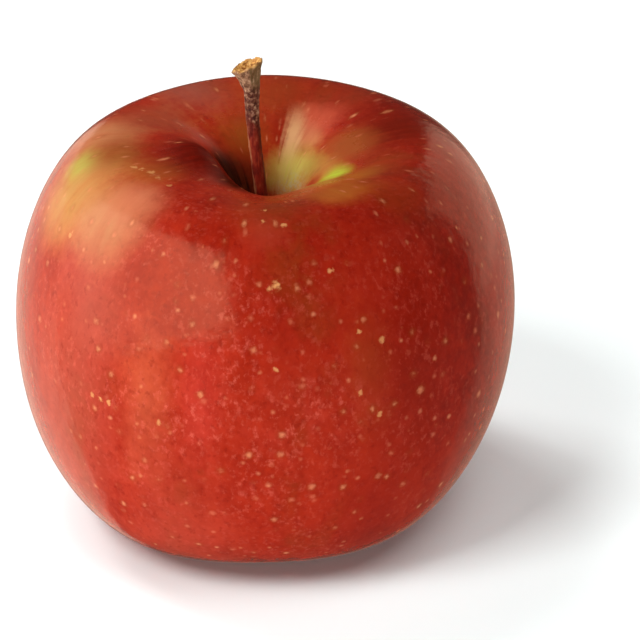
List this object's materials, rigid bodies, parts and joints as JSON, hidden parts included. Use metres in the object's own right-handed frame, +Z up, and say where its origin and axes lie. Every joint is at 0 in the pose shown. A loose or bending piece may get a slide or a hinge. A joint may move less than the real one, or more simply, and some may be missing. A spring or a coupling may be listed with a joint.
{
  "type": "red apple",
  "caption": "Whole ripe apple with a woody stem in a deep hollow on top and a dried calyx in the basin below, standing on five small flat feet",
  "frame": {"origin": "on the surface the apple stands on, under the middle of its bounding box", "axes": "+Z up through the stem, -Y towards the viewer, +X to the viewer's right"},
  "size_m": [0.0778, 0.0778, 0.0766],
  "materials": {
    "skin": "waxy satin skin, red over yellow-green, with pale dots",
    "bark": "dry rough bark",
    "dried_calyx": "dry papery leaves"
  },
  "bodies": {
    "root": {"fruit": "skin", "stem": "bark", "calyx": "dried_calyx"}
  },
  "joints": []
}
